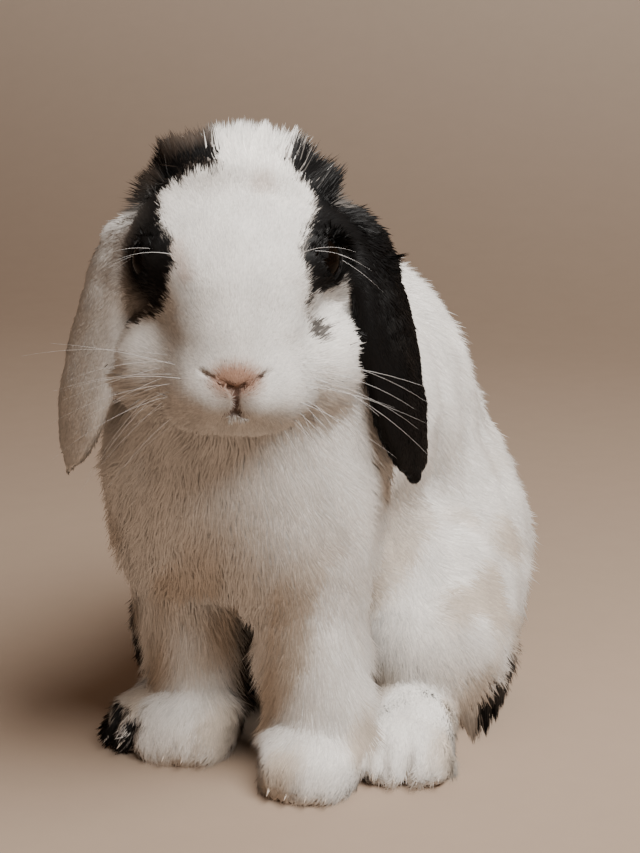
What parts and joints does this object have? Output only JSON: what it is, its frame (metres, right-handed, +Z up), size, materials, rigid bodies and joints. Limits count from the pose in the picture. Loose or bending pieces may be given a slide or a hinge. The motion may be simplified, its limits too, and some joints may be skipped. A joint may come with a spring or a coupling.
{
  "type": "lop rabbit",
  "caption": "Life-size still model of a small lop-eared rabbit sitting up on straight forelegs, with a long crest between the ears.",
  "frame": {"origin": "under the middle of the box, on the surface that the rabbit sits on", "axes": "+Z up, -Y the way the body faces, +X to the rabbit's left; the head is turned 17 degrees towards +X"},
  "size_m": [0.1556, 0.245, 0.2296],
  "materials": {
    "pale_fur": "soft white coat",
    "dark_fur": "soft near-black coat",
    "eye": "wet, very dark brown",
    "claw": "horn",
    "bare_skin": "pink skin of the nose and ear"
  },
  "bodies": {
    "root": {"tail": "dark_fur", "eye_left": "eye", "ear_left": "dark_fur", "foreleg_left": "pale_fur", "forepaw_left": "pale_fur", "claw_fore_left_1": "claw", "claw_fore_left_2": "claw", "claw_fore_left_3": "claw", "claw_fore_left_4": "claw", "hindfoot_left": "pale_fur", "claw_hind_left_1": "claw", "claw_hind_left_2": "claw", "claw_hind_left_3": "claw", "claw_hind_left_4": "claw", "thigh_left": "pale_fur", "eye_right": "eye", "ear_right": "pale_fur", "foreleg_right": "pale_fur", "forepaw_right": "pale_fur", "claw_fore_right_1": "claw", "claw_fore_right_2": "claw", "claw_fore_right_3": "claw", "claw_fore_right_4": "claw", "hindfoot_right": "pale_fur", "claw_hind_right_1": "claw", "claw_hind_right_2": "claw", "thigh_right": "pale_fur", "head": "pale_fur", "neck": "pale_fur", "trunk": "pale_fur"}
  },
  "joints": []
}
